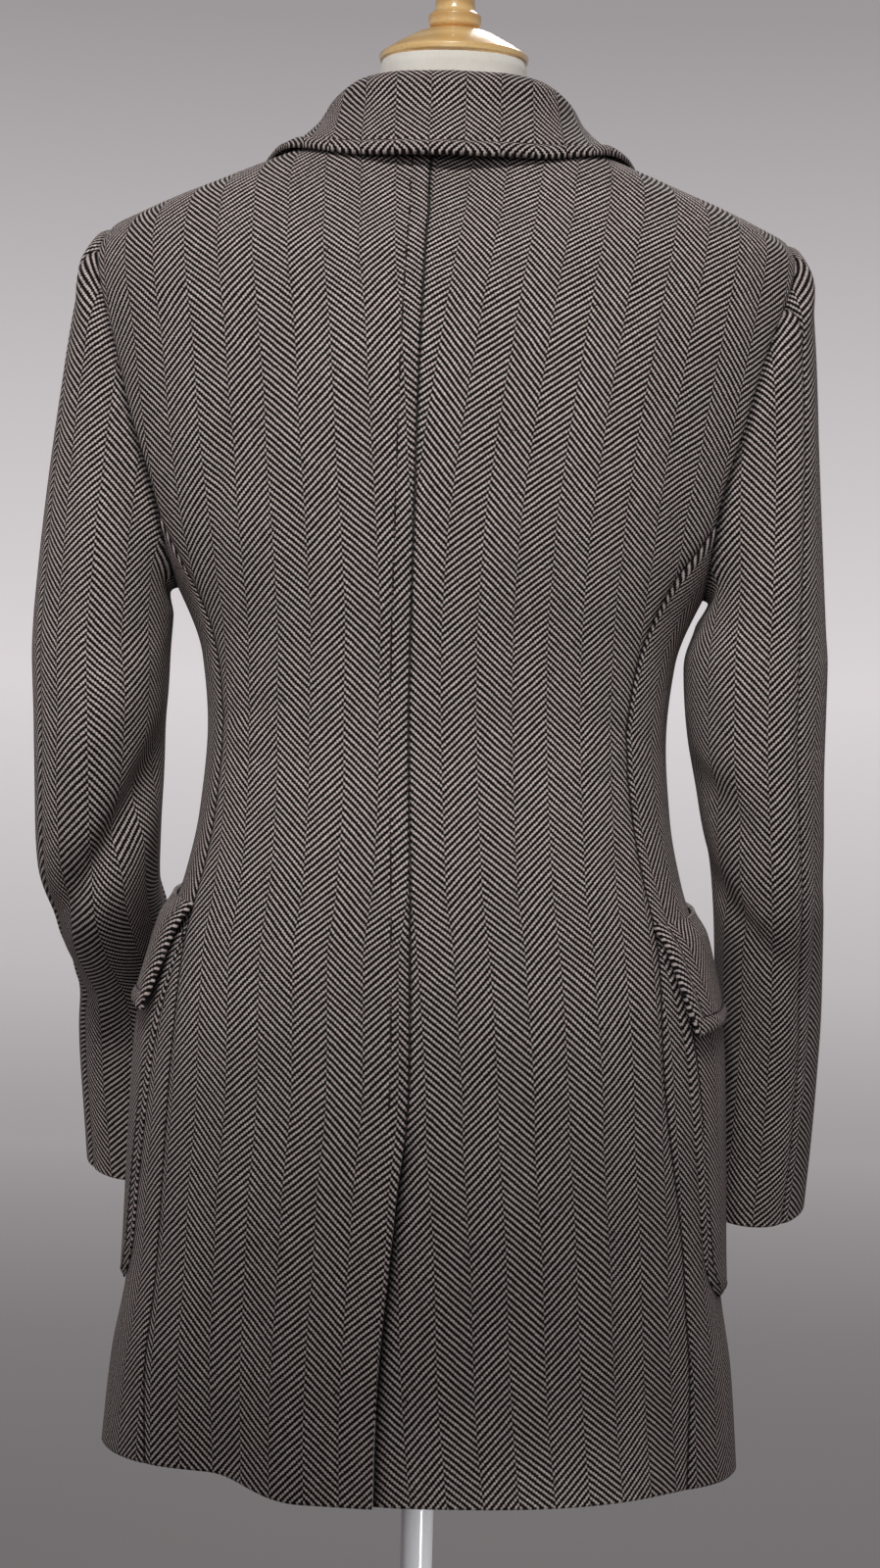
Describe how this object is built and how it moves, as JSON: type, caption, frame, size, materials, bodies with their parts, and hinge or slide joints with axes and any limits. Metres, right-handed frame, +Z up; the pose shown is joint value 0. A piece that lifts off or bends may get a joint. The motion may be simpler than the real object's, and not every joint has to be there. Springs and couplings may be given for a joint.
{
  "type": "double-breasted overcoat on a dress form",
  "caption": "Waisted mid-thigh herringbone overcoat with fold-over collar, lapels, flapped patch pockets and a back vent, on a limbless dress form with pole and round foot.",
  "frame": {"origin": "centre of the underside of the round foot, on the pole's axis", "axes": "+Z up the pole, -Y out of the coat's front, +X towards the wearer's left"},
  "size_m": [0.5018, 0.3638, 1.512],
  "materials": {
    "cloth": "napped wool herringbone",
    "button": "satin",
    "jersey": "matte",
    "wood": "varnished",
    "pole": "gloss"
  },
  "bodies": {
    "root": {"back_left": "cloth", "back_right": "cloth", "vent_underlap": "cloth", "side_left": "cloth", "side_right": "cloth", "front_left": "cloth", "front_right": "cloth", "lapel_left": "cloth", "lapel_right": "cloth", "collar": "cloth", "collar_stand": "cloth", "top_sleeve_left": "cloth", "under_sleeve_left": "cloth", "top_sleeve_right": "cloth", "under_sleeve_right": "cloth", "pocket_left": "cloth", "pocket_right": "cloth", "pocket_flap_left": "cloth", "pocket_flap_right": "cloth", "button_1": "button", "button_2": "button", "button_3": "button", "button_4": "button", "button_5": "button", "button_6": "button", "form_torso": "jersey", "neck_cap": "wood", "finial": "wood", "pole": "pole", "base": "pole"}
  },
  "joints": []
}
